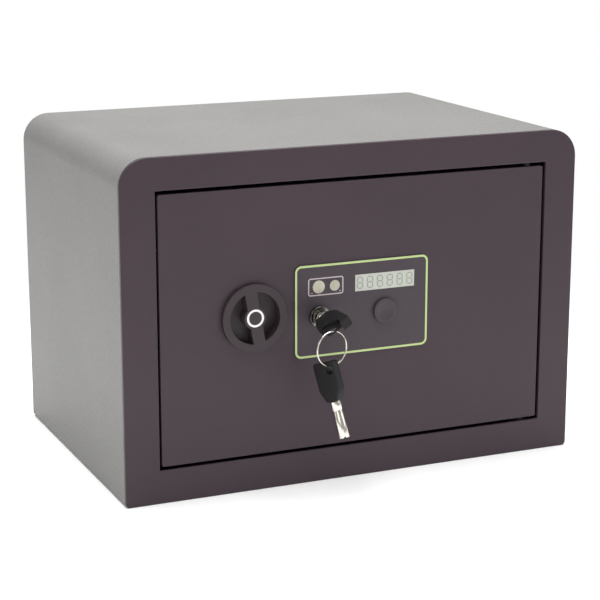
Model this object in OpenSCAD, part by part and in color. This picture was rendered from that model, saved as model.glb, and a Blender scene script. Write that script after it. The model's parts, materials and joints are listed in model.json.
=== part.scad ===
// Small electronic room safe: steel cabinet, hinged door with a turn knob, two locking bolts,
// a control panel and an override lock. The door stands shut with its bolts drawn in.
// X is right, Y is back, Z is up. The origin is the centre of the underside.

/* [Cabinet] */
// Width of the cabinet
cabinet_w = 350; // [340:1:430]
// Depth of the cabinet, front frame to back panel
cabinet_d = 235; // [200:1:400]
// Height of the cabinet
cabinet_h = 242; // [230:1:320]
// Radius of the two upper corners
top_r = 20; // [8:1:22]
// Radius of the two lower corners
bottom_r = 3; // [2:0.5:6]
// Thickness of the wrapped steel shell
shell_t = 2; // [1.5:0.5:3]
// Thickness of the front frame plate
frame_t = 3; // [2:0.5:4]
// Width of the front frame at each side of the door
border_side = 25; // [24:1:30]
// Width of the front frame above the door
border_top = 23; // [22:1:30]
// Width of the front frame below the door
border_bottom = 24; // [22:1:30]
// Radius of the anchor holes in the floor and the back
anchor_r = 5; // [3:0.5:6]
// Distance between the floor anchor holes, left to right
anchor_span = 200; // [120:5:220]
// Height of the back anchor holes
anchor_z = 150; // [120:5:180]
// Thickness of the carpet on the cabinet floor
mat_t = 3; // [2:0.5:5]

/* [Door] */
// Gap between the door and the front frame at the hinge side, the top and the bottom
door_gap = 2.6; // [2.6:0.1:3.4]
// Gap at the door's free edge
free_edge_gap = 1.6; // [1.4:0.1:2.6]
// Thickness of the door plate
door_t = 4; // [3:0.5:5]
// Radius of the door's corners
door_corner_r = 1.5; // [1:0.5:3]
// Distance of the hinge axis from the door's edge
pivot_in = 9.5; // [9.5:0.5:12]
// Distance of the hinge axis behind the door's face
pivot_back = 7; // [7:0.5:8]
// Radius of the hinge pins
pin_r = 2.5; // [2:0.1:2.5]
// Depth of the tray behind the door plate
tray_d = 24; // [24:1:30]
// Thickness of the tray wall and of the inner cover
tray_t = 1.5; // [1:0.5:2]
// Distance from the door's edge to the tray
tray_in = 8; // [8:1:12]

/* [Knob and bolts] */
// Sideways place of the knob
knob_x = -80; // [-90:1:-76]
// Height of the knob and of the bolts' centre
knob_z = 126; // [118:1:132]
// Radius of the knob's rim
knob_r = 24; // [21:0.5:26]
// How far the knob stands out of the door
knob_proud = 3.5; // [2:0.5:6]
// Radius of the knob's cup, which sits in the door
cup_r = 20; // [18:0.5:21]
// Depth of the finger pockets
pocket_d = 9; // [6:0.5:10]
// Width of the grip bar
grip_w = 9; // [7:0.5:11]
// Lean of the grip bar at rest
grip_lean = 10; // [0:1:20]
// Radius of the knob's hub
hub_r = 8; // [7.5:0.5:9]
// Outer radius of the ring mark on the hub
mark_r = 6.3; // [5:0.1:6.8]
// Turn of the knob from drawn in to thrown
knob_turn = 80; // [60:1:80]
// Radius of the crank that carries the drive pin
crank_r = 14; // [12:0.5:15]
// Radius of the locking bolts
bolt_r = 8; // [6:0.5:9]
// Distance between the two locking bolts
bolt_span = 90; // [80:2:100]

/* [Control panel] */
// Sideways place of the panel's centre
panel_x = 2.6; // [0:0.2:6]
// Height of the panel's centre
panel_z = 125.8; // [122:0.2:130]
// Width of the panel
panel_w = 104; // [100:1:108]
// Height of the panel
panel_h = 67; // [64:1:72]
// How far the panel stands out of the door
panel_proud = 0.8; // [0.5:0.1:1.2]
// Width of the trim line
trim_w = 1.5; // [1:0.1:2]
// Width of the display window
lcd_w = 46.6; // [42:0.2:48]
// Height of the display window
lcd_h = 12; // [10:0.2:14]
// Radius of the selector dial
dial_r = 9; // [8:0.5:10]

/* [Lock and keys] */
// Sideways place of the lock
lock_x = -31; // [-33:0.5:-29]
// Height of the lock
lock_z = 122; // [120:0.5:124]
// Radius of the lock's face
lock_r = 7.6; // [7.2:0.1:8]
// How far the lock stands out of the door
lock_proud = 4; // [3:0.5:5]
// Outer radius of the tubular key
key_r = 3.85; // [3.5:0.05:4]
// Angle of the key's head at rest
key_lean = 33; // [0:1:45]
// Length of a key's head
head_l = 28; // [26:1:30]
// Width of a key's head
head_w = 19; // [18:0.5:22]
// Thickness of a key's head
head_t = 6.5; // [6:0.1:7]
// Radius of the key ring, to the middle of the wire
ring_r = 12.3; // [11:0.1:14]
// Radius of the key ring's wire
wire_r = 0.7; // [0.6:0.05:0.8]

/* [Hidden] */
$fn = 64;

// Clearances
run_gap = 0.05;     // radial gap of a running fit
free_gap = 0.4;     // gap round a piece that moves freely
slot_gap = 0.5;     // gap at each side of the crank pin in its slot

// Cabinet
front_y = -cabinet_d / 2;
back_y = cabinet_d / 2;
frame_back = front_y + frame_t;
inner_w = cabinet_w - 2 * shell_t;
open_x = cabinet_w / 2 - border_side;
open_low = border_bottom;
open_high = cabinet_h - border_top;

// Door
door_x = open_x - door_gap;
door_left = -open_x + free_edge_gap;
door_low = open_low + door_gap;
door_high = open_high - door_gap;
door_back = front_y + door_t;
pivot_x = door_x - pivot_in;
pivot_y = front_y + pivot_back;
tray_left = door_left + tray_in;
tray_right = pivot_x - 11.5;
tray_low = door_low + tray_in;
tray_high = door_high - tray_in;
tray_back = door_back + tray_d;
tray_mid_x = (tray_left + tray_right) / 2;
tray_mid_z = (tray_low + tray_high) / 2;

// Hinge
hinge_half = 6;             // half width of a hinge block and a hinge bracket
hinge_block_h = 20;
bracket_h = 9;
bracket_gap = 1;            // bracket to the edge of the door opening
bracket_back = pivot_y + 5;
bracket_high = open_high + bracket_gap;
bracket_low = open_low - bracket_gap - bracket_h;
pin_reach = 14;             // how far a pin goes into its block

// Knob drive, front to back
cup_back = front_y + 11.5;
crank_front = cup_back + 2;
crank_t = 3;
carriage_front = crank_front + crank_t + 1.5;
carriage_t = 2.5;
crank_back = crank_front + crank_t;
spindle_r = 4;
drive_r = 2.5;
pin_x = crank_r * sin(knob_turn / 2);
pin_z = -crank_r * cos(knob_turn / 2);
bolt_y = carriage_front + carriage_t / 2;
bolt_tip = tray_left - 6;
bolt_root = knob_x - 15;
carriage_right = knob_x + 18;
carriage_low = knob_z - 24;
carriage_high = knob_z + 26;
rail_w = 6;
rail_t = 12;
guide_l = 15;
guide_half = bolt_r + 4;
guide_back = tray_back;

// Solenoid
plunger_x = knob_x + 8;
plunger_r = 3;
plunger_low = carriage_high + 0.3;
collar_r = 4.6;
collar_t = 2;
coil_w = 20;
coil_low = plunger_low + 12;
coil_h = 30;
coil_t = 15;

// Panel
panel_y = front_y - panel_proud;
panel_corner = 5;
trim_d = 0.5;
contact_x = panel_x - 28.3;
contact_z = panel_z + 17.3;
contact_w = 27;
contact_h = 12.7;
contact_line = 0.8;
lcd_x = panel_x + 17.7;
lcd_z = panel_z + 17.2;
dial_x = panel_x + 17.6;
dial_z = panel_z - 4.6;
board_t = 1.6;
board_y = door_back + 6;
stem_r = 3;

// Lock
face_y = front_y - lock_proud;
plug_r = 5.3;
stud_r = 6;
lock_back = door_back + 15;
groove_out = key_r + 0.3;
key_wall = 1.05;
groove_in = key_r - key_wall - 0.3;
groove_d = 6;
key_in = 5;
key_neck = 5;
head_y = face_y - key_neck;
hole_in = 5;                 // hole to the outer end of the head
hole_y = head_y - head_l + hole_in;
shoulder_l = 8;              // length of the tapered shoulders
neck_half = 5.2;             // half width of the head at the barrel
key_hole_r = 3.2;
hole_side = 5;               // hole to the middle of a key's head
pocket_r = 8;                // thinned ring round the hole
head_web = 0.8;              // thickness left round the hole

// Ring and spare key
ring_turn = 12;
spare_turn = 24;
ring_x = lock_x - hole_side * cos(key_lean);
hole_z = lock_z - hole_side * sin(key_lean);
ring_drop = 0.4;
ring_z = hole_z - ring_drop - ring_r;
spare_gap = 0.8;             // hole wall to the wire at the middle of the head's thickness
spare_z = ring_z - ring_r - (key_hole_r - wire_r - spare_gap);
spare_tilt = -20;
spare_drop = 5.5;            // hole to the top of the spare key's head
barrel_l = 26;

// Batteries
case_x = 72;
case_z = 120;
case_w = 62;
case_h = 66;
case_t = 17;
cell_r = 7;
cell_l = 50;
cell_pitch = 14.6;
case_wall = 1.5;

// Rounded rectangle seen from the front, its lower left corner at the origin
module rounded(w, h, r) {
  translate([r, 0]) square([w - 2 * r, h]);
  translate([0, r]) square([w, h - 2 * r]);
  for (x = [r, w - r], z = [r, h - r]) translate([x, z]) circle(r);
}

// Cabinet outline with round upper corners and tighter lower ones
module outline(inset) {
  w = cabinet_w - 2 * inset;
  h = cabinet_h - 2 * inset;
  r = top_r - inset;
  b = max(bottom_r - inset, 0.5);
  translate([-w / 2, inset]) {
    translate([0, b]) square([w, h - b - r]);
    translate([b, 0]) square([w - 2 * b, h - r]);
    translate([r, h - r - 1]) square([w - 2 * r, r + 1]);
    for (x = [b, w - b]) translate([x, b]) circle(b);
    for (x = [r, w - r]) translate([x, h - r]) circle(r);
  }
}

// Extrudes an XZ outline from y1 back to y2
module upright(y1, y2) {
  translate([0, y2, 0]) rotate([90, 0, 0]) linear_extrude(y2 - y1) children();
}

// Cylinder along Y from y1 back to y2
module rod_y(x, z, r, y1, y2) {
  translate([x, y2, z]) rotate([90, 0, 0]) cylinder(h = y2 - y1, r = r);
}

// Box between two corners
module block(a, b) {
  translate(a) cube(b - a);
}

// ---- Cabinet ----

module body_shell() {
  color([0.25, 0.22, 0.24]) difference() {
    upright(frame_back, back_y) difference() {
      outline(0);
      outline(shell_t);
    }
    for (s = [-1, 1])
      translate([s * anchor_span / 2, 0, -1]) cylinder(h = shell_t + 2, r = anchor_r);
  }
}

module back_panel() {
  color([0.22, 0.2, 0.21]) difference() {
    upright(back_y - shell_t, back_y) outline(shell_t);
    for (s = [-1, 1])
      rod_y(s * anchor_span / 2, anchor_z, anchor_r, back_y - shell_t - 1, back_y + 1);
  }
}

module front_frame() {
  color([0.27, 0.22, 0.25]) upright(front_y, frame_back) difference() {
    outline(0);
    translate([-open_x, open_low]) square([2 * open_x, open_high - open_low]);
  }
}

module hinge_brackets() {
  color([0.27, 0.22, 0.25]) for (z = [bracket_low, bracket_high]) difference() {
    block([pivot_x - hinge_half, frame_back, z],
      [pivot_x + hinge_half, bracket_back, z + bracket_h]);
    translate([pivot_x, pivot_y, z - 1]) cylinder(h = bracket_h + 2, r = pin_r);
  }
}

module hinge_pins() {
  upper = bracket_high + bracket_h;
  lower = bracket_low;
  color("silver") for (z = [[lower, door_low + pin_reach], [door_high - pin_reach, upper]])
    translate([pivot_x, pivot_y, z[0]]) cylinder(h = z[1] - z[0], r = pin_r);
}

module floor_mat() {
  w = inner_w - 6;
  color([0.1, 0.1, 0.11]) difference() {
    block([-w / 2, frame_back + 8, shell_t], [w / 2, back_y - shell_t - 1, shell_t + mat_t]);
    for (s = [-1, 1])
      translate([s * anchor_span / 2, 0, 0]) cylinder(h = 20, r = anchor_r + 1);
  }
}

// ---- Door ----

// Holes that the door plate and the tray share
module door_cuts(y1, y2) {
  rod_y(knob_x, knob_z, cup_r + free_gap, y1, y2);
  rod_y(lock_x, lock_z, stud_r, y1, y2);
}

module door_plate() {
  window_w = lcd_w + 2;
  color([0.27, 0.22, 0.25]) difference() {
    upright(front_y, door_back) translate([door_left, door_low])
      rounded(door_x - door_left, door_high - door_low, door_corner_r);
    door_cuts(front_y - 1, door_back + 1);
    rod_y(dial_x, dial_z, stem_r + free_gap, front_y - 1, door_back + 1);
    block([lcd_x - window_w / 2, front_y - 1, lcd_z - lcd_h / 2 - 1],
      [lcd_x + window_w / 2, door_back + 1, lcd_z + lcd_h / 2 + 1]);
  }
}

module hinge_blocks() {
  color([0.27, 0.22, 0.25]) for (z = [door_low + 2, door_high - 2 - hinge_block_h]) difference() {
    block([pivot_x - hinge_half, door_back, z],
      [pivot_x + hinge_half, pivot_y + hinge_half - 1, z + hinge_block_h]);
    translate([pivot_x, pivot_y, z - 1]) cylinder(h = hinge_block_h + 2, r = pin_r + run_gap);
  }
}

module door_tray() {
  color([0.25, 0.22, 0.24]) difference() {
    block([tray_left, door_back, tray_low], [tray_right, tray_back, tray_high]);
    block([tray_left + tray_t, door_back - 1, tray_low + tray_t],
      [tray_right - tray_t, tray_back + 1, tray_high - tray_t]);
    for (s = [-1, 1]) translate([tray_left - 1, bolt_y, knob_z + s * bolt_span / 2])
      rotate([0, 90, 0]) cylinder(h = tray_t + 2, r = bolt_r + free_gap);
  }
}

module inner_cover() {
  color([0.25, 0.22, 0.24]) difference() {
    block([tray_left, tray_back, tray_low], [tray_right, tray_back + tray_t, tray_high]);
    block([case_x - case_w / 2, tray_back - 1, case_z - case_h / 2],
      [case_x + case_w / 2, tray_back + tray_t + 1, case_z + case_h / 2]);
    rod_y(dial_x, tray_low + 30, 3.5, tray_back - 1, tray_back + tray_t + 1);
  }
}

module cover_screws() {
  color("silver") for (x = [tray_left + 9, tray_mid_x, tray_right - 9],
      z = [tray_low + 9, tray_high - 9]) {
    rod_y(x, z, 3, tray_back + tray_t, tray_back + tray_t + 1.6);
  }
}

module bolt_guides() {
  x1 = tray_left + tray_t;
  color([0.55, 0.55, 0.56]) for (s = [-1, 1]) {
    z = knob_z + s * bolt_span / 2;
    difference() {
      block([x1, door_back, z - guide_half], [x1 + guide_l, guide_back, z + guide_half]);
      translate([x1 - 1, bolt_y, z]) rotate([0, 90, 0])
        cylinder(h = guide_l + 2, r = bolt_r + run_gap);
    }
  }
}

module knob_bushing() {
  color([0.6, 0.58, 0.5]) difference() {
    union() {
      rod_y(knob_x, knob_z, 27, door_back, door_back + 1.5);
      rod_y(knob_x, knob_z, cup_r + 3, door_back, cup_back);
    }
    rod_y(knob_x, knob_z, cup_r + free_gap, door_back - 1, cup_back + 1);
  }
}

module control_panel() {
  color([0.28, 0.24, 0.27]) difference() {
    upright(panel_y, front_y) translate([panel_x - panel_w / 2, panel_z - panel_h / 2])
      rounded(panel_w, panel_h, panel_corner);
    upright(panel_y - 1, panel_y + trim_d) trim_outline();
    upright(panel_y - 1, panel_y + trim_d) contact_line_outline();
    rod_y(lock_x, lock_z, stud_r, panel_y - 1, front_y + 1);
    rod_y(dial_x, dial_z, stem_r + free_gap, panel_y - 1, front_y + 1);
    block([lcd_x - lcd_w / 2, panel_y - 1, lcd_z - lcd_h / 2],
      [lcd_x + lcd_w / 2, front_y + 1, lcd_z + lcd_h / 2]);
    rod_y(contact_x - 5.5, contact_z, 4.6, panel_y - 1, panel_y + trim_d);
    rod_y(contact_x + 6.8, contact_z, 3.8, panel_y - 1, panel_y + trim_d);
  }
}

// Thin line that runs just inside the panel's edge
module trim_outline() {
  translate([panel_x - panel_w / 2, panel_z - panel_h / 2]) difference() {
    translate([0.3, 0.3]) rounded(panel_w - 0.6, panel_h - 0.6, panel_corner - 0.3);
    translate([0.3 + trim_w, 0.3 + trim_w])
      rounded(panel_w - 0.6 - 2 * trim_w, panel_h - 0.6 - 2 * trim_w, panel_corner - trim_w - 0.3);
  }
}

// Thin line round the two supply contacts
module contact_line_outline() {
  translate([contact_x - contact_w / 2, contact_z - contact_h / 2]) difference() {
    rounded(contact_w, contact_h, 1.8);
    translate([contact_line, contact_line])
      rounded(contact_w - 2 * contact_line, contact_h - 2 * contact_line, 1);
  }
}

module panel_trim() {
  color([0.68, 0.76, 0.48]) upright(panel_y, panel_y + trim_d) trim_outline();
}

module contact_outline() {
  color([0.78, 0.7, 0.72]) upright(panel_y, panel_y + trim_d) contact_line_outline();
}

module contact_large() {
  color([0.55, 0.53, 0.45]) rod_y(contact_x - 5.5, contact_z, 4.6, panel_y - 0.2, panel_y + trim_d);
}

module contact_small() {
  color([0.55, 0.53, 0.45]) rod_y(contact_x + 6.8, contact_z, 3.8, panel_y - 0.2, panel_y + trim_d);
}

module lcd_window() {
  color([0.62, 0.65, 0.6]) block([lcd_x - lcd_w / 2, panel_y + 0.2, lcd_z - lcd_h / 2],
    [lcd_x + lcd_w / 2, board_y, lcd_z + lcd_h / 2]);
}

module circuit_board() {
  color([0.1, 0.35, 0.2]) difference() {
    block([panel_x - 18, board_y, panel_z - 28], [panel_x + 50, board_y + board_t, panel_z + 28]);
    rod_y(dial_x, dial_z, stem_r + free_gap, board_y - 1, board_y + board_t + 1);
  }
  color([0.1, 0.35, 0.2]) for (x = [panel_x - 12, panel_x + 44], z = [panel_z - 25, panel_z + 25])
    rod_y(x, z, 2.5, door_back, board_y);
}

module battery_case() {
  y1 = tray_back + tray_t - case_t;
  color([0.12, 0.12, 0.13]) difference() {
    block([case_x - case_w / 2, y1, case_z - case_h / 2],
      [case_x + case_w / 2, tray_back + tray_t, case_z + case_h / 2]);
    block([case_x - case_w / 2 + case_wall, y1 + case_wall, case_z - case_h / 2 + case_wall],
      [case_x + case_w / 2 - case_wall, tray_back + 5, case_z + case_h / 2 - case_wall]);
  }
}

module battery_cells() {
  y = tray_back + tray_t - case_t + case_wall + cell_r;
  color([0.2, 0.2, 0.22]) for (k = [-1.5 : 1.5])
    translate([case_x - cell_l / 2, y, case_z + k * cell_pitch]) rotate([0, 90, 0])
      cylinder(h = cell_l, r = cell_r);
}

module battery_lid() {
  color([0.14, 0.14, 0.15])
    block([case_x - case_w / 2, tray_back + tray_t + 0.3, case_z - case_h / 2],
      [case_x + case_w / 2, tray_back + tray_t + 2.3, case_z + case_h / 2]);
}

module lock_body() {
  color([0.6, 0.6, 0.6]) difference() {
    union() {
      rod_y(lock_x, lock_z, lock_r, face_y, panel_y);
      rod_y(lock_x, lock_z, stud_r, panel_y - 1, lock_back);
    }
    rod_y(lock_x, lock_z, plug_r + run_gap, face_y - 1, lock_back + 1);
  }
}

module lock_nut() {
  color("silver") difference() {
    translate([lock_x, door_back + 3, lock_z]) rotate([90, 0, 0]) cylinder(h = 3, r = 10, $fn = 6);
    rod_y(lock_x, lock_z, stud_r, door_back - 1, door_back + 4);
  }
}

module solenoid() {
  color([0.7, 0.55, 0.25]) difference() {
    block([plunger_x - coil_w / 2, bolt_y - coil_t / 2, coil_low],
      [plunger_x + coil_w / 2, bolt_y + coil_t / 2, coil_low + coil_h]);
    translate([plunger_x, bolt_y, coil_low - 1]) cylinder(h = coil_h - 4, r = plunger_r + run_gap);
  }
  color([0.7, 0.55, 0.25]) block([plunger_x - coil_w / 2, door_back, coil_low + 4],
    [plunger_x + coil_w / 2, bolt_y - coil_t / 2, coil_low + coil_h - 4]);
}

module reset_button() {
  color([0.7, 0.15, 0.12])
    rod_y(dial_x, tray_low + 30, 3.1, tray_back - 4, tray_back + tray_t + 1.5);
}

module selector_dial() {
  lip = 1.2;
  color([0.26, 0.22, 0.25]) {
    difference() {
      rod_y(dial_x, dial_z, dial_r, panel_y - 0.3 - lip - 1, panel_y - 0.3);
      translate([dial_x, panel_y - 0.3 - lip - 22, dial_z]) sphere(r = 22.2, $fn = 96);
    }
    rod_y(dial_x, dial_z, stem_r, panel_y - 0.4, board_y + board_t + 4);
  }
}

// ---- Knob and bolts ----

module knob() {
  rim_y = front_y - knob_proud;
  color([0.24, 0.2, 0.22]) difference() {
    union() {
      rod_y(knob_x, knob_z, knob_r, rim_y, front_y - 0.4);
      rod_y(knob_x, knob_z, cup_r, front_y - 1, cup_back);
    }
    difference() {
      rod_y(knob_x, knob_z, cup_r - 1.5, rim_y - 1, rim_y + pocket_d);
      rod_y(knob_x, knob_z, hub_r, rim_y - 2, rim_y + pocket_d + 1);
      translate([knob_x, 0, knob_z]) rotate([0, -grip_lean, 0])
        block([-grip_w / 2, rim_y - 2, -cup_r], [grip_w / 2, rim_y + pocket_d + 1, cup_r]);
    }
    ring_groove(rim_y);
    rod_y(knob_x, knob_z, spindle_r, cup_back - 4, cup_back + 1);
  }
}

// Shallow groove in the hub that holds the ring mark
module ring_groove(y) {
  difference() {
    rod_y(knob_x, knob_z, mark_r, y - 1, y + trim_d);
    rod_y(knob_x, knob_z, mark_r - trim_w, y - 2, y + 1);
  }
}

module knob_ring() {
  rim_y = front_y - knob_proud;
  color([0.9, 0.9, 0.92]) difference() {
    rod_y(knob_x, knob_z, mark_r, rim_y, rim_y + trim_d);
    rod_y(knob_x, knob_z, mark_r - trim_w, rim_y - 1, rim_y + 1);
  }
}

module knob_spindle() {
  color("silver") rod_y(knob_x, knob_z, spindle_r, cup_back - 4, crank_front);
}

module crank() {
  color([0.62, 0.62, 0.63]) {
    rod_y(knob_x, knob_z, 7, crank_front, crank_back);
    rod_y(knob_x + pin_x, knob_z + pin_z, 4.5, crank_front, crank_back);
    translate([knob_x, 0, knob_z]) rotate([0, 180 - knob_turn / 2, 0])
      block([-4.5, crank_front, 0], [4.5, crank_back, crank_r]);
    rod_y(knob_x + pin_x, knob_z + pin_z, drive_r, crank_front, carriage_front + carriage_t + 1.5);
  }
}

module bolt_carriage() {
  slot_low = -crank_r - drive_r - 1;
  slot_high = pin_z + drive_r + 1;
  color([0.6, 0.6, 0.61]) {
    difference() {
      block([bolt_root, carriage_front, carriage_low],
        [carriage_right, carriage_front + carriage_t, carriage_high]);
      block([knob_x + pin_x - drive_r - slot_gap, carriage_front - 1, knob_z + slot_low],
        [knob_x + pin_x + drive_r + slot_gap, carriage_front + carriage_t + 1, knob_z + slot_high]);
    }
    block([bolt_root, bolt_y - rail_t / 2, knob_z - bolt_span / 2 - bolt_r],
      [bolt_root + rail_w, bolt_y + rail_t / 2, knob_z + bolt_span / 2 + bolt_r]);
  }
}

module locking_bolts() {
  color([0.7, 0.7, 0.71]) for (s = [-1, 1])
    translate([bolt_tip, bolt_y, knob_z + s * bolt_span / 2]) rotate([0, 90, 0]) {
      cylinder(h = 1, r1 = bolt_r - 1, r2 = bolt_r);
      translate([0, 0, 1]) cylinder(h = bolt_root - bolt_tip - 1, r = bolt_r);
    }
}

module plunger() {
  color("silver") translate([plunger_x, bolt_y, 0]) {
    translate([0, 0, plunger_low]) cylinder(h = coil_low + 12 - plunger_low, r = plunger_r);
    translate([0, 0, plunger_low + 1.5]) cylinder(h = collar_t, r = collar_r);
  }
}

module plunger_spring() {
  low = plunger_low + 1.5 + collar_t;
  color("silver") translate([plunger_x, bolt_y, low]) difference() {
    cylinder(h = coil_low - low, r = collar_r - 0.2);
    translate([0, 0, -1]) cylinder(h = 20, r = plunger_r + 0.4);
  }
}

// ---- Lock and keys ----

module lock_plug() {
  color([0.45, 0.45, 0.46]) difference() {
    rod_y(lock_x, lock_z, plug_r, face_y + 0.3, lock_back + 0.5);
    difference() {
      rod_y(lock_x, lock_z, groove_out, face_y - 1, face_y + groove_d);
      rod_y(lock_x, lock_z, groove_in, face_y - 2, face_y + groove_d + 1);
    }
  }
}

module lock_cam() {
  color([0.6, 0.6, 0.61]) {
    rod_y(lock_x, lock_z, 7, lock_back + 0.5, lock_back + 2.5);
    block([lock_x - 4, lock_back + 0.5, lock_z - 16], [lock_x + 4, lock_back + 2.5, lock_z]);
  }
}

// Head of a tubular key: the hole is at the origin, the key runs along -Z, its width is along X.
// A thinned head has a round pocket in each face, so that a ring can lie aslant in its hole.
module head_shape(top, side, thinned) {
  corner_r = 2;
  difference() {
    translate([side, head_t / 2, top]) rotate([90, 0, 0]) linear_extrude(head_t) difference() {
      translate([-head_w / 2, -head_l]) rounded(head_w, head_l, corner_r);
      for (s = [-1, 1]) polygon([
        [s * (head_w / 2 + 1), -head_l + shoulder_l],
        [s * head_w / 2, -head_l + shoulder_l],
        [s * neck_half, -head_l],
        [s * neck_half, -head_l - 1],
        [s * (head_w / 2 + 1), -head_l - 1]
      ]);
    }
    rod_y(0, 0, key_hole_r, -head_t, head_t);
    if (thinned) {
      rod_y(0, 0, pocket_r, head_web / 2, head_t);
      rod_y(0, 0, pocket_r, -head_t, -head_web / 2);
    }
  }
}

module key_head() {
  color([0.08, 0.08, 0.09]) translate([ring_x, hole_y, hole_z])
    rotate([0, -key_lean, 0]) rotate([90, 0, 0]) head_shape(hole_in, hole_side, true);
}

module key_barrel() {
  color([0.75, 0.75, 0.73]) difference() {
    rod_y(lock_x, lock_z, key_r, head_y, face_y + key_in);
    rod_y(lock_x, lock_z, key_r - key_wall, face_y - 2, face_y + key_in + 1);
  }
}

module key_ring() {
  color("silver") translate([ring_x, hole_y, ring_z]) rotate([0, 0, ring_turn]) rotate([90, 0, 0])
    rotate_extrude() translate([ring_r, 0]) circle(wire_r, $fn = 16);
}

// Places a piece of the spare key, hanging from the ring
module spare_place() {
  translate([ring_x, hole_y, spare_z]) rotate([0, 0, spare_turn - 90]) rotate([0, spare_tilt, 0])
    children();
}

module spare_key_head() {
  color([0.08, 0.08, 0.09]) spare_place() head_shape(spare_drop, -hole_side, false);
}

module spare_key_barrel() {
  color([0.75, 0.75, 0.73]) spare_place()
    translate([-hole_side, 0, spare_drop - head_l - barrel_l]) difference() {
      cylinder(h = barrel_l, r = key_r);
      translate([0, 0, -1]) cylinder(h = barrel_l - 4, r = key_r - key_wall);
    }
}

body_shell();
back_panel();
front_frame();
hinge_brackets();
hinge_pins();
floor_mat();
door_plate();
hinge_blocks();
door_tray();
inner_cover();
cover_screws();
bolt_guides();
knob_bushing();
control_panel();
panel_trim();
contact_outline();
contact_large();
contact_small();
lcd_window();
circuit_board();
battery_case();
battery_cells();
battery_lid();
lock_body();
lock_nut();
solenoid();
reset_button();
selector_dial();
knob();
knob_ring();
knob_spindle();
crank();
bolt_carriage();
locking_bolts();
plunger();
plunger_spring();
lock_plug();
lock_cam();
key_barrel();
key_head();
key_ring();
spare_key_barrel();
spare_key_head();
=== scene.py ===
import json
import math

import bmesh
import bpy
import numpy as np
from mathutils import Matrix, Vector


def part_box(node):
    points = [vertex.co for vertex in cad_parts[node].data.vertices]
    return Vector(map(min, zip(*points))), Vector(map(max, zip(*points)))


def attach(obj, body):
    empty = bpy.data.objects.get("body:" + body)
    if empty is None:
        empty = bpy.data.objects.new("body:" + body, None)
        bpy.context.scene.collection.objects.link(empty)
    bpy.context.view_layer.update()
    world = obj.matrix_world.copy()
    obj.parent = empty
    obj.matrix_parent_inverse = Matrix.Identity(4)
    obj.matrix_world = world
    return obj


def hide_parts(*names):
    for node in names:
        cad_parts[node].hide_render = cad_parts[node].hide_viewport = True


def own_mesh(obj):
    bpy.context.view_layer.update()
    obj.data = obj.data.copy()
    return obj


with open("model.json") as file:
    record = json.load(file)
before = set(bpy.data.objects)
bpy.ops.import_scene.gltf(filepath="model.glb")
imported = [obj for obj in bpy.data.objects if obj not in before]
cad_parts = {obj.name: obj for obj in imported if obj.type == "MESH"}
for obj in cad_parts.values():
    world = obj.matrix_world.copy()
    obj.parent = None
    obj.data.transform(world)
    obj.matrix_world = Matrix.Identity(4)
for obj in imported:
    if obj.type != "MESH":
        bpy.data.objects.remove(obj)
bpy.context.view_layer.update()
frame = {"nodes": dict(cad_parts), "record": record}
scene = bpy.context.scene
record = frame["record"]
mm = 0.001
print("frame loaded,", len(frame["nodes"]), "nodes")


# node groups used by several finishes

def newGroup(name, inputs, outputs):
    group = bpy.data.node_groups.new(name, "ShaderNodeTree")
    for label, kind, value in inputs:
        made = group.interface.new_socket(label, in_out="INPUT", socket_type=kind)
        made.default_value = value
    for label, kind in outputs:
        group.interface.new_socket(label, in_out="OUTPUT", socket_type=kind)
    return group, group.nodes.new("NodeGroupInput"), group.nodes.new("NodeGroupOutput")


def noiseNode(tree, vector, scale, detail=3.0, rough=0.55):
    node = tree.nodes.new("ShaderNodeTexNoise")
    node.inputs["Detail"].default_value = detail
    node.inputs["Roughness"].default_value = rough
    if isinstance(scale, (int, float)):
        node.inputs["Scale"].default_value = scale
    else:
        tree.links.new(scale, node.inputs["Scale"])
    tree.links.new(vector, node.inputs["Vector"])
    return node


def mapped(tree, value, low, high, outLow, outHigh):
    node = tree.nodes.new("ShaderNodeMapRange")
    for name, number in (("From Min", low), ("From Max", high), ("To Min", outLow), ("To Max", outHigh)):
        if isinstance(number, (int, float)):
            node.inputs[name].default_value = number
        else:
            tree.links.new(number, node.inputs[name])
    tree.links.new(value, node.inputs["Value"])
    return node.outputs["Result"]


def mathNode(tree, kind, a, b):
    node = tree.nodes.new("ShaderNodeMath")
    node.operation = kind
    for slot, value in zip(node.inputs, (a, b)):
        if isinstance(value, (int, float)):
            slot.default_value = value
        else:
            tree.links.new(value, slot)
    return node.outputs[0]


def mixColour(tree, factor, a, b):
    node = tree.nodes.new("ShaderNodeMix")
    node.data_type = "RGBA"
    tree.links.new(factor, node.inputs["Factor"])
    for slot, value in (("A", a), ("B", b)):
        socket = [s for s in node.inputs if s.name == slot and s.type == "RGBA"][0]
        if isinstance(value, tuple):
            socket.default_value = value
        else:
            tree.links.new(value, socket)
    return [s for s in node.outputs if s.type == "RGBA"][0]


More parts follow.
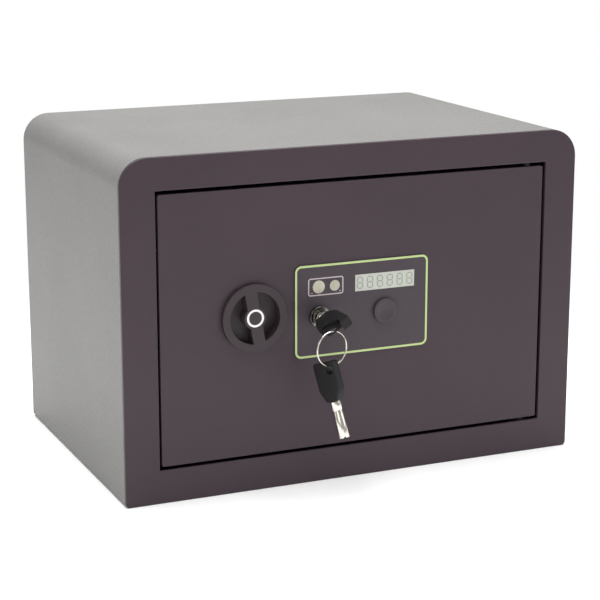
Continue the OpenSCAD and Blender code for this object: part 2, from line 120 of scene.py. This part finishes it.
# sandy coat: fine pale grains over a soft orange-peel, with a slow drift of tone
def makeSandyCoat():
    tree, inp, out = newGroup(
        "sandyCoat",
        [("Vector", "NodeSocketVector", (0, 0, 0)), ("Colour", "NodeSocketColor", (0.1, 0.1, 0.1, 1)),
         ("Fleck", "NodeSocketColor", (0.3, 0.3, 0.3, 1)), ("Grain", "NodeSocketFloat", 1800.0),
         ("Rough", "NodeSocketFloat", 0.5), ("Amount", "NodeSocketFloat", 0.5)],
        [("Colour", "NodeSocketColor"), ("Roughness", "NodeSocketFloat"), ("Height", "NodeSocketFloat")],
    )
    grain = noiseNode(tree, inp.outputs["Vector"], inp.outputs["Grain"], 2.0)
    peel = noiseNode(tree, inp.outputs["Vector"], 320.0, 3.0)
    drift = noiseNode(tree, inp.outputs["Vector"], 9.0, 4.0)
    fleckMask = mathNode(tree, "MULTIPLY", mapped(tree, grain.outputs[0], 0.52, 0.74, 0.0, 1.0),
                      inp.outputs["Amount"])
    toned = tree.nodes.new("ShaderNodeHueSaturation")
    tree.links.new(inp.outputs["Colour"], toned.inputs["Color"])
    tree.links.new(mapped(tree, drift.outputs[0], 0.3, 0.7, 0.93, 1.07), toned.inputs["Value"])
    tree.links.new(mixColour(tree, fleckMask, toned.outputs[0], inp.outputs["Fleck"]), out.inputs["Colour"])
    wear = mapped(tree, peel.outputs[0], 0.3, 0.7, -0.05, 0.06)
    tree.links.new(mathNode(tree, "ADD", inp.outputs["Rough"], wear), out.inputs["Roughness"])
    low = mathNode(tree, "MULTIPLY", peel.outputs[0], 0.7)
    fine = mathNode(tree, "MULTIPLY", grain.outputs[0], 0.6)
    tree.links.new(mathNode(tree, "ADD", low, fine), out.inputs["Height"])
    return tree


# brushed metal: noise stretched along one axis, with small stains
def makeBrushed():
    tree, inp, out = newGroup(
        "brushedMetal",
        [("Vector", "NodeSocketVector", (0, 0, 0)), ("Colour", "NodeSocketColor", (0.6, 0.6, 0.6, 1)),
         ("Stretch", "NodeSocketVector", (1, 1, 1)), ("Rough", "NodeSocketFloat", 0.3)],
        [("Colour", "NodeSocketColor"), ("Roughness", "NodeSocketFloat"), ("Height", "NodeSocketFloat")],
    )
    scaled = tree.nodes.new("ShaderNodeVectorMath")
    scaled.operation = "MULTIPLY"
    tree.links.new(inp.outputs["Vector"], scaled.inputs[0])
    tree.links.new(inp.outputs["Stretch"], scaled.inputs[1])
    lines = noiseNode(tree, scaled.outputs[0], 900.0, 4.0)
    stain = noiseNode(tree, inp.outputs["Vector"], 140.0, 4.0)
    toned = tree.nodes.new("ShaderNodeHueSaturation")
    tree.links.new(inp.outputs["Colour"], toned.inputs["Color"])
    tree.links.new(mapped(tree, stain.outputs[0], 0.3, 0.75, 0.8, 1.1), toned.inputs["Value"])
    tree.links.new(toned.outputs[0], out.inputs["Colour"])
    streaks = mapped(tree, lines.outputs[0], 0.3, 0.7, -0.08, 0.1)
    tree.links.new(mathNode(tree, "ADD", inp.outputs["Rough"], streaks), out.inputs["Roughness"])
    tree.links.new(lines.outputs[0], out.inputs["Height"])
    return tree


sandyCoat = makeSandyCoat()
brushedMetal = makeBrushed()


def finish(name, group, values, metallic=0.0, bump=0.2, bumpDistance=0.0001, coat=0.0, coatRough=0.3,
           specular=0.5):
    # one Principled surface fed by an effect group on Object coordinates
    mat = bpy.data.materials.new(name)
    mat.use_nodes = True
    tree = mat.node_tree
    shader = tree.nodes["Principled BSDF"]
    coords = tree.nodes.new("ShaderNodeTexCoord")
    effect = tree.nodes.new("ShaderNodeGroup")
    effect.node_tree = group
    tree.links.new(coords.outputs["Object"], effect.inputs["Vector"])
    for key, value in values.items():
        effect.inputs[key].default_value = value
    tree.links.new(effect.outputs["Colour"], shader.inputs["Base Color"])
    tree.links.new(effect.outputs["Roughness"], shader.inputs["Roughness"])
    relief = tree.nodes.new("ShaderNodeBump")
    relief.inputs["Strength"].default_value = bump
    relief.inputs["Distance"].default_value = bumpDistance
    tree.links.new(effect.outputs["Height"], relief.inputs["Height"])
    tree.links.new(relief.outputs["Normal"], shader.inputs["Normal"])
    shader.inputs["Metallic"].default_value = metallic
    shader.inputs["Coat Weight"].default_value = coat
    shader.inputs["Coat Roughness"].default_value = coatRough
    shader.inputs["Specular IOR Level"].default_value = specular
    mat.diffuse_color = (*values["Colour"][:3], 1)
    return mat


def sandy(name, colour, fleck, grain=1800.0, rough=0.5, amount=0.5, **more):
    values = {"Colour": (*colour, 1), "Fleck": (*fleck, 1), "Grain": grain, "Rough": rough, "Amount": amount}
    return finish(name, sandyCoat, values, **more)


def metal(name, colour, rough, stretch=(1, 1, 12), **more):
    values = {"Colour": (*colour, 1), "Stretch": stretch, "Rough": rough}
    return finish(name, brushedMetal, values, metallic=1.0, **more)


# the cabinet's grey is painted reflection: the shell wears the same dark aubergine paint as the front, and
# this grey base colour stands in for studio light reflected off its sides and top; the pale sandy flecks are
# the coat's real grain
cabinetPaintAndReflection = sandy("cabinetPaintAndReflection", (0.155, 0.152, 0.147), (0.36, 0.35, 0.335), rough=0.5, amount=0.55,
                     bump=0.6, bumpDistance=0.0002)
frontPaint = sandy("frontPaint", (0.042, 0.027, 0.036), (0.075, 0.055, 0.066), rough=0.42, amount=0.3,
                   bump=0.25, specular=0.3)
innerPaint = sandy("innerPaint", (0.07, 0.062, 0.066), (0.13, 0.12, 0.12), rough=0.5, amount=0.4, bump=0.4)
panelPlastic = sandy("panelPlastic", (0.05, 0.038, 0.047), (0.1, 0.09, 0.1), rough=0.45, amount=0.2,
                     bump=0.12, specular=0.3)
knobPlastic = sandy("knobPlastic", (0.036, 0.025, 0.03), (0.09, 0.07, 0.08), rough=0.4, amount=0.2, bump=0.12,
                     specular=0.3)
blackPlastic = sandy("blackPlastic", (0.009, 0.008, 0.009), (0.025, 0.025, 0.025), rough=0.42, amount=0.3,
                     bump=0.3, specular=0.25)
trimGreen = sandy("trimGreen", (0.44, 0.55, 0.22), (0.6, 0.7, 0.4), rough=0.35, amount=0.2, bump=0.05)
printWhite = sandy("printWhite", (0.84, 0.82, 0.84), (0.9, 0.9, 0.9), rough=0.5, amount=0.2, bump=0.05)
outlinePink = sandy("outlinePink", (0.5, 0.42, 0.45), (0.6, 0.5, 0.52), rough=0.5, amount=0.2, bump=0.05)
displayFace = sandy("displayFace", (0.45, 0.465, 0.41), (0.5, 0.52, 0.46), 900.0, 0.22, 0.3, bump=0.02,
                    coat=0.6, coatRough=0.08)
digitInk = sandy("digitInk", (0.24, 0.27, 0.225), (0.3, 0.33, 0.28), rough=0.4, amount=0.2, bump=0.02)
boardGreen = sandy("boardGreen", (0.02, 0.13, 0.05), (0.05, 0.2, 0.09), rough=0.3, amount=0.4, bump=0.2)
carpet = sandy("carpet", (0.03, 0.03, 0.033), (0.09, 0.09, 0.095), 900.0, 0.95, 0.8, bump=1.0,
               bumpDistance=0.0008, specular=0.1)
cellWrap = sandy("cellWrap", (0.03, 0.035, 0.05), (0.3, 0.25, 0.1), 300.0, 0.3, 0.2, bump=0.05)
bushPlastic = sandy("bushPlastic", (0.45, 0.42, 0.34), (0.5, 0.5, 0.42), rough=0.5, amount=0.3, bump=0.2)
redButton = sandy("redButton", (0.45, 0.03, 0.02), (0.6, 0.1, 0.08), rough=0.3, amount=0.2, bump=0.05)
zincSteel = metal("zincSteel", (0.6, 0.6, 0.59), 0.34, bump=0.15)
chrome = metal("chrome", (0.74, 0.71, 0.63), 0.17, bump=0.03)
darkChrome = metal("darkChrome", (0.2, 0.195, 0.18), 0.2, bump=0.06)
contactMetal = metal("contactMetal", (0.46, 0.44, 0.36), 0.42, (8, 1, 1), bump=0.2)
coilFrame = metal("coilFrame", (0.62, 0.5, 0.26), 0.36, bump=0.2)
print("finishes made")


bodyOf = {node: body for body, nodes in record["behaviour"]["bodies"].items() for node in nodes}


def addMesh(name, points, faces, mat, smooth=True):
    mesh = bpy.data.meshes.new(name)
    mesh.from_pydata(points.tolist(), [], faces)
    mesh.polygons.foreach_set("use_smooth", np.full(len(mesh.polygons), smooth))
    mesh.materials.append(mat)
    mesh.update()
    piece = bpy.data.objects.new(name, mesh)
    scene.collection.objects.link(piece)
    return piece


# the quads of a grid of rows x columns, its columns closed into a loop
def gridFaces(rows, columns):
    r, c = np.meshgrid(np.arange(rows - 1), np.arange(columns), indexing="ij")
    n = (c + 1) % columns
    here, above = r * columns, (r + 1) * columns
    return np.stack([here + c, here + n, above + n, above + c], -1).reshape(-1, 4).tolist()


# merge distance in metres; the angles are in degrees
edgeWork = {"merge": 2e-6, "flatAngle": 0.4, "segments": 2, "sharpAngle": 32, "faceWeight": 100}


# a copy of a CAD node with its loose triangles merged and its sharp edges rounded
def softened(node, width, mat):
    source = frame["nodes"][node]
    piece = source.copy()
    piece.data = source.data.copy()
    piece.name = node + "_finished"
    piece.parent = None
    for key in list(piece.keys()):
        del piece[key]
    scene.collection.objects.link(piece)
    piece.data.materials.clear()
    piece.data.materials.append(mat)
    work = bmesh.new()
    work.from_mesh(piece.data)
    bmesh.ops.remove_doubles(work, verts=work.verts, dist=edgeWork["merge"])
    bmesh.ops.dissolve_limit(work, angle_limit=math.radians(edgeWork["flatAngle"]), verts=work.verts,
                             edges=work.edges)
    work.to_mesh(piece.data)
    work.free()
    bevel = piece.modifiers.new("edges", "BEVEL")
    bevel.width = width * mm
    bevel.segments = edgeWork["segments"]
    bevel.limit_method = "ANGLE"
    bevel.angle_limit = math.radians(edgeWork["sharpAngle"])
    weigh = piece.modifiers.new("shading", "WEIGHTED_NORMAL")
    weigh.weight = edgeWork["faceWeight"]
    piece.data.polygons.foreach_set("use_smooth", np.ones(len(piece.data.polygons), bool))
    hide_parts(node)
    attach(piece, bodyOf[node])
    return piece


# node: finish and edge rounding in millimetres; no rounding keeps the CAD node itself
dressing = {
    "body_shell": (cabinetPaintAndReflection, 0), "back_panel": (cabinetPaintAndReflection, 0), "front_frame": (frontPaint, 0.7),
    "hinge_brackets": (innerPaint, 0.5), "hinge_pins": (innerPaint, 0), "floor_mat": (carpet, 0),
    "door_plate": (frontPaint, 0.6), "hinge_blocks": (innerPaint, 0.5), "door_tray": (innerPaint, 0),
    "inner_cover": (innerPaint, 0.4), "cover_screws": (zincSteel, 0.6), "bolt_guides": (zincSteel, 0),
    "knob_bushing": (bushPlastic, 0), "control_panel": (panelPlastic, 0), "panel_trim": (trimGreen, 0),
    "contact_outline": (outlinePink, 0), "contact_large": (contactMetal, 0),
    "contact_small": (contactMetal, 0),
    "lcd_window": (displayFace, 0), "circuit_board": (boardGreen, 0), "battery_case": (blackPlastic, 0),
    "battery_cells": (cellWrap, 0), "battery_lid": (blackPlastic, 0.6), "lock_body": (darkChrome, 0.8),
    "lock_nut": (zincSteel, 0), "solenoid": (coilFrame, 0), "reset_button": (redButton, 0.4),
    "selector_dial": (panelPlastic, 0.35), "knob": (knobPlastic, 0.7), "knob_ring": (printWhite, 0),
    "knob_spindle": (zincSteel, 0), "crank": (zincSteel, 0.4), "bolt_carriage": (zincSteel, 0.4),
    "locking_bolts": (chrome, 0.4), "plunger": (zincSteel, 0), "lock_plug": (darkChrome, 0.25),
    "lock_cam": (zincSteel, 0), "key_head": (blackPlastic, 0.9), "spare_key_head": (blackPlastic, 0.9),
}
for node, (mat, rounding) in dressing.items():
    if rounding:
        softened(node, rounding, mat)
    else:
        for holder in frame["nodes"][node].material_slots:
            holder.material = mat
print("nodes dressed")


# a round wire carried along a path: each ring is the path's point plus the radius times the
# cosine and sine of the ring angle along the two directions across the path; both ends closed
def wirePiece(name, path, radius, mat, reference, sides=10):
    along = np.gradient(path, axis=0)
    along /= np.linalg.norm(along, axis=1, keepdims=True)
    across = np.cross(along, reference)
    across /= np.linalg.norm(across, axis=1, keepdims=True)
    up = np.cross(across, along)
    turn = np.linspace(0, 2 * math.pi, sides, endpoint=False)
    ring = across[:, None] * np.cos(turn)[None, :, None] + up[:, None] * np.sin(turn)[None, :, None]
    points = (path[:, None] + radius * ring).reshape(-1, 3)
    ends = np.vstack([path[:1], path[-1:]])
    rows = len(path)
    k = np.arange(sides)
    n = (k + 1) % sides
    lastRing = (rows - 1) * sides
    first = np.stack([n, k, np.full(sides, rows * sides)], -1).tolist()
    last = np.stack([lastRing + k, lastRing + n, np.full(sides, rows * sides + 1)], -1).tolist()
    piece = addMesh(name, np.vstack([points, ends]), gridFaces(rows, sides) + first + last, mat)
    return outward(piece)


# merges points closer than the distance in metres and turns every face of a closed mesh to look outwards
def outward(piece, merge=1e-7):
    work = bmesh.new()
    work.from_mesh(piece.data)
    bmesh.ops.remove_doubles(work, verts=work.verts, dist=merge)
    bmesh.ops.recalc_face_normals(work, faces=work.faces)
    work.to_mesh(piece.data)
    work.free()
    return piece


def corners(node):
    low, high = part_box(node)
    return np.array(low), np.array(high)


# split ring: two turns of wire side by side, crossing over halfway along the wire;
# the point is the centre plus the radius times cosine and sine in the ring's plane
# wire and cadWire are radii; boxShare is how much of cadWire the CAD ring's box adds along X and Y
keyRing = {"wire": 0.00033, "turns": 1.94, "start": 0.9, "points": 260, "crossing": 2.2, "cadWire": 0.0007,
           "boxShare": (0.2, 1.0, 0)}


def makeKeyRing():
    low, high = corners("key_ring")
    middle = (low + high) / 2
    tube = keyRing["cadWire"]
    radius = (high[2] - low[2]) / 2 - tube
    flat = np.array([high[0] - low[0], high[1] - low[1], 0]) / 2 - tube * np.array(keyRing["boxShare"])
    across = flat / np.linalg.norm(flat)
    normal = np.cross(across, [0, 0, 1])
    t = np.linspace(0, keyRing["turns"] * 2 * math.pi, keyRing["points"])
    a = t + keyRing["start"]
    side = np.tanh((t - t.max() / 2) * keyRing["crossing"]) * keyRing["wire"]
    path = middle + radius * (np.cos(a)[:, None] * across + np.sin(a)[:, None] * np.array([0, 0, 1.0]))
    path = path + side[:, None] * normal
    piece = wirePiece("split_ring", path, keyRing["wire"], chrome, normal)
    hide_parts("key_ring")
    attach(piece, "key_ring")


# compression spring: a helix about Z whose pitch closes up at both ends; keep is the share of its
# length that is left at the end of plunger_pull
plungerSpring = {"turns": 6, "pointsPerTurn": 28, "wire": 0.0004, "keep": 0.4}


def makeSpring():
    low, high = corners("plunger_spring")
    middle = (low + high) / 2
    wire = plungerSpring["wire"]
    radius = (high[0] - low[0]) / 2 - wire
    t = np.linspace(0, 1, plungerSpring["turns"] * plungerSpring["pointsPerTurn"])
    a = 2 * math.pi * plungerSpring["turns"] * t
    rise = low[2] + wire + (high[2] - low[2] - 2 * wire) * (3 * t**2 - 2 * t**3)
    path = np.stack([middle[0] + radius * np.cos(a), middle[1] + radius * np.sin(a), rise], -1)
    piece = wirePiece("plunger_coil", path, wire, zincSteel, np.array([0, 0, 1.0]))
    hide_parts("plunger_spring")
    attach(piece, "door")
    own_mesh(piece)


# flat bars standing a little out of a face: each bar's six-sided outline, front and back, from its
# middle, half length, half thickness and whether it stands upright
def bars(name, middles, halfLong, halfThick, upright, front, back, mat, body):
    outline = np.array([[-1, 0], [-1, 1], [1, 1], [1, 0], [1, -1], [-1, -1]], float)
    length = np.where(outline[:, 1] == 0, halfLong, halfLong - halfThick)
    flat = np.stack([outline[:, 0] * length, outline[:, 1] * halfThick], -1)
    tall = flat[:, ::-1]
    shape = np.where(np.asarray(upright)[:, None, None], tall[None], flat[None])
    xz = np.asarray(middles)[:, None, :] + shape
    count = len(xz)
    layer = [np.dstack([xz[..., :1], np.full((count, 6, 1), y), xz[..., 1:]]) for y in (front, back)]
    points = np.concatenate(layer, axis=1).reshape(-1, 3)
    k = np.arange(6)
    side = np.stack([k, (k + 1) % 6, (k + 1) % 6 + 6, k + 6], -1)
    base = 12 * np.arange(count)
    faces = (base[:, None, None] + side[None]).reshape(-1, 4).tolist()
    faces += (base[:, None] + k[None]).tolist() + (base[:, None] + 6 + k[::-1][None]).tolist()
    piece = outward(addMesh(name, points, faces, mat, smooth=False))
    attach(piece, body)


# six idle figures in a row, each the seven bars of a figure eight; bar is half a bar's thickness, and
# length the share of half the figure's width that each bar reaches
display = {"figures": 6, "tall": 0.0078, "wide": 0.0040, "bar": 0.00042, "length": 0.86, "rise": 0.00006,
           "sunk": 0.0001}


def makeDigits():
    low, high = corners("lcd_window")
    w, h = display["wide"] / 2, display["tall"] / 2
    places = np.array([[0, h], [0, 0], [0, -h], [-w, h / 2], [w, h / 2], [-w, -h / 2], [w, -h / 2]])
    upright = np.array([False, False, False, True, True, True, True])
    step = (high[0] - low[0]) / display["figures"]
    starts = low[0] + step * (np.arange(display["figures"]) + 0.5)
    middleZ = (low[2] + high[2]) / 2
    middles = np.concatenate([places + [x, middleZ] for x in starts])
    uprights = np.tile(upright, display["figures"])
    front, back = low[1] - display["rise"], low[1] + display["sunk"]
    bars("display_figures", middles, w * display["length"], display["bar"], uprights, front, back, digitInk,
         "door")


# polarity marks beside the contacts: a minus at the lower left, a plus at the lower right
marks = {"fromLeft": 0.0028, "fromRight": 0.0026, "up": 0.0022, "halfLong": 0.0007, "halfThick": 0.00016,
         "rise": 0.00005, "sunk": 0.0001}


def makeMarks():
    low, high = corners("contact_outline")
    y = corners("control_panel")[0][1]
    left = [low[0] + marks["fromLeft"], low[2] + marks["up"]]
    right = [high[0] - marks["fromRight"], low[2] + marks["up"]]
    bars("polarity_marks", [left, right, right], marks["halfLong"], marks["halfThick"], [False, False, True],
         y - marks["rise"], y + marks["sunk"], outlinePink, "door")


# tubular key barrel: a tube's outer and inner wall in one profile, with seven milled notches in
# its end and one slot milled along its side; radius and distance back from the tip are functions of
# the turn and the place on the profile. Lengths are in metres, the slot's half angle in radians
barrelShape = {"outer": 0.00385, "wall": 0.00105, "deep": 0.014, "deepShare": 0.8, "sides": 96,
               "notch": 0.0012, "notches": 7, "notchShare": 0.17, "slotDeep": 0.0005, "slotAngle": 0.22,
               "slotShare": 0.6, "wallShare": 0.95, "neckShare": 0.93, "capShare": 0.9, "capRound": 0.0003,
               "groove": (0.78, 0.765, 0.72, 0.705), "tipRound": 0.00025, "tipCut": 0.00015,
               "boreFlare": 0.0001, "tipZone": 0.001, "pole": 0.00001, "merge": 2e-5, "smoothBelow": 35}


def makeBarrel(name, node, tip, root, body):
    tip, root = np.array(tip), np.array(root)
    axis = (tip - root) / np.linalg.norm(tip - root)
    length = np.linalg.norm(tip - root)
    reference = np.array([0.31, 0.2, 1.0]) if abs(axis[2]) < 0.7 else np.array([1.0, 0.15, 0])
    e1 = np.cross(axis, reference)
    e1 /= np.linalg.norm(e1)
    e2 = np.cross(axis, e1)
    o, i = barrelShape["outer"], barrelShape["outer"] - barrelShape["wall"]
    pole, neck = barrelShape["pole"], o * barrelShape["neckShare"]
    depth = min(barrelShape["deep"], length * barrelShape["deepShare"])
    turn = np.linspace(0, 2 * math.pi, barrelShape["sides"], endpoint=False)
    # from the middle of the root's cap, over one groove, round the tip and down to the bore's end
    tipCut, flared = barrelShape["tipCut"], i + barrelShape["boreFlare"]
    cap = o * barrelShape["capShare"]
    radii = np.array([pole, cap, o, o, neck, neck, o, o, o - tipCut, flared, i, i, pole])
    groove = [length * share for share in barrelShape["groove"]]
    place = np.array([length, length, length - barrelShape["capRound"], *groove, barrelShape["tipRound"],
                      0, 0, tipCut, depth, depth])
    phase = np.mod(turn * barrelShape["notches"] / (2 * math.pi), 1.0)
    cut = (np.abs(phase - 0.5) < barrelShape["notchShare"]) * barrelShape["notch"]
    back = place[:, None] + np.where(place[:, None] < barrelShape["tipZone"], cut[None], 0)
    inSlot = (np.abs(turn - math.pi) < barrelShape["slotAngle"])[None]
    onWall = (place < length * barrelShape["slotShare"]) & (radii > o * barrelShape["wallShare"])
    r = np.where(inSlot & onWall[:, None], radii[:, None] - barrelShape["slotDeep"], radii[:, None])
    ring = np.cos(turn)[None, :, None] * e1 + np.sin(turn)[None, :, None] * e2
    points = tip - back[..., None] * axis + r[..., None] * ring
    piece = addMesh(name, points.reshape(-1, 3), gridFaces(len(radii), len(turn)), chrome)
    outward(piece, barrelShape["merge"])
    piece.data.set_sharp_from_angle(angle=math.radians(barrelShape["smoothBelow"]))
    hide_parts(node)
    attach(piece, body)


endReach = 0.0004   # how far from a barrel's end its end points lie


def barrelEnds(node):
    # the far ends of the tube's axis, from the mean of the points at each end
    points = np.array([v.co for v in frame["nodes"][node].data.vertices])
    middle = points.mean(0)
    lead = np.linalg.svd(points - middle)[2][0]
    along = (points - middle) @ lead
    high = points[along > along.max() - endReach].mean(0)
    low = points[along < along.min() + endReach].mean(0)
    return low, high


makeKeyRing()
makeSpring()
makeDigits()
makeMarks()
root, tip = sorted(barrelEnds("key_barrel"), key=lambda end: end[1])   # the key's tip is inside the lock
makeBarrel("key_shank", "key_barrel", tip, root, "key")
tip, root = sorted(barrelEnds("spare_key_barrel"), key=lambda end: end[2])   # the spare hangs tip down
makeBarrel("spare_key_shank", "spare_key_barrel", tip, root, "spare_key")
print("pieces made")


# the floor's shade fades to plain white between two distances from the middle, in metres
floorShape = {"half": 2.2, "shade": 0.93, "rough": 0.9, "fadeFrom": 0.28, "fadeTo": 0.6}
studioLight = {"fill": 0.42, "background": 1.0}


# 1 on rays from the camera and on rays that have passed through glass, otherwise 0
def seenRays(tree):
    rays = tree.nodes.new("ShaderNodeLightPath")
    return mathNode(tree, "MAXIMUM", rays.outputs["Is Camera Ray"], rays.outputs["Is Transmission Ray"])


def makeFloor():
    h = floorShape["half"]
    mesh = bpy.data.meshes.new("floor")
    mesh.from_pydata([(-h, -h, 0), (h, -h, 0), (h, h, 0), (-h, h, 0)], [], [(0, 1, 2, 3)])
    floor = bpy.data.objects.new("floor", mesh)
    scene.collection.objects.link(floor)
    mat = bpy.data.materials.new("floorWhite")
    mat.use_nodes = True
    tree = mat.node_tree
    shader = tree.nodes["Principled BSDF"]
    shader.inputs["Base Color"].default_value = (*[floorShape["shade"]] * 3, 1)
    shader.inputs["Roughness"].default_value = floorShape["rough"]
    # seen by the camera, the floor runs out into plain white away from the object's shadow
    coords = tree.nodes.new("ShaderNodeTexCoord")
    spread = tree.nodes.new("ShaderNodeVectorMath")
    spread.operation = "LENGTH"
    tree.links.new(coords.outputs["Object"], spread.inputs[0])
    fade = mapped(tree, spread.outputs["Value"], floorShape["fadeFrom"], floorShape["fadeTo"], 0.0, 1.0)
    seen = seenRays(tree)
    paper = tree.nodes.new("ShaderNodeEmission")
    paper.inputs["Strength"].default_value = studioLight["background"]
    choose = tree.nodes.new("ShaderNodeMixShader")
    tree.links.new(mathNode(tree, "MULTIPLY", fade, seen), choose.inputs[0])
    tree.links.new(shader.outputs[0], choose.inputs[1])
    tree.links.new(paper.outputs[0], choose.inputs[2])
    tree.links.new(choose.outputs[0], tree.nodes["Material Output"].inputs["Surface"])
    mesh.materials.append(mat)


def makeWorld():
    world = bpy.data.worlds.new("studio")
    world.use_nodes = True
    tree = world.node_tree
    fill = tree.nodes["Background"]
    fill.inputs["Color"].default_value = (1, 1, 1, 1)
    fill.inputs["Strength"].default_value = studioLight["fill"]
    paper = tree.nodes.new("ShaderNodeBackground")
    paper.inputs["Color"].default_value = (1, 1, 1, 1)
    paper.inputs["Strength"].default_value = studioLight["background"]
    choose = tree.nodes.new("ShaderNodeMixShader")
    tree.links.new(seenRays(tree), choose.inputs[0])
    tree.links.new(fill.outputs[0], choose.inputs[1])
    tree.links.new(paper.outputs[0], choose.inputs[2])
    tree.links.new(choose.outputs[0], tree.nodes["World Output"].inputs["Surface"])
    scene.world = world


# name: place, aim, size and power of each soft lamp
lamps = {
    "overhead": ((0.0, 0.1, 2.0), (0, 0, 0.1), 1.8, 76),
    "frontLeft": ((-1.5, -1.9, 1.3), (0, 0, 0.12), 1.3, 8),
    "right": ((1.9, -1.2, 1.1), (0, 0, 0.12), 1.4, 9),
    "left": ((-2.2, 0.4, 0.9), (0, 0, 0.12), 1.4, 4),
}


def makeLamps():
    for name, (place, aim, size, power) in lamps.items():
        light = bpy.data.lights.new(name, "AREA")
        light.size = size
        light.energy = power
        lamp = bpy.data.objects.new(name, light)
        lamp.location = place
        lamp.rotation_euler = (Vector(aim) - Vector(place)).to_track_quat("-Z", "Y").to_euler()
        scene.collection.objects.link(lamp)


# pitch is down from level and yaw right from +Y, in degrees; lens and sensor are in millimetres
view = {"place": (-0.538, -1.242, 0.436), "pitch": 13.78, "yaw": 23.67, "lens": 109.0, "sensor": 36}


def makeCamera():
    data = bpy.data.cameras.new("camera")
    data.lens = view["lens"]
    data.sensor_width = view["sensor"]
    camera = bpy.data.objects.new("camera", data)
    camera.location = view["place"]
    camera.rotation_euler = (math.radians(90 - view["pitch"]), 0, math.radians(-view["yaw"]))
    scene.collection.objects.link(camera)
    scene.camera = camera


makeFloor()
makeWorld()
makeLamps()
makeCamera()
scene.view_settings.view_transform = "Standard"
print("stage made")
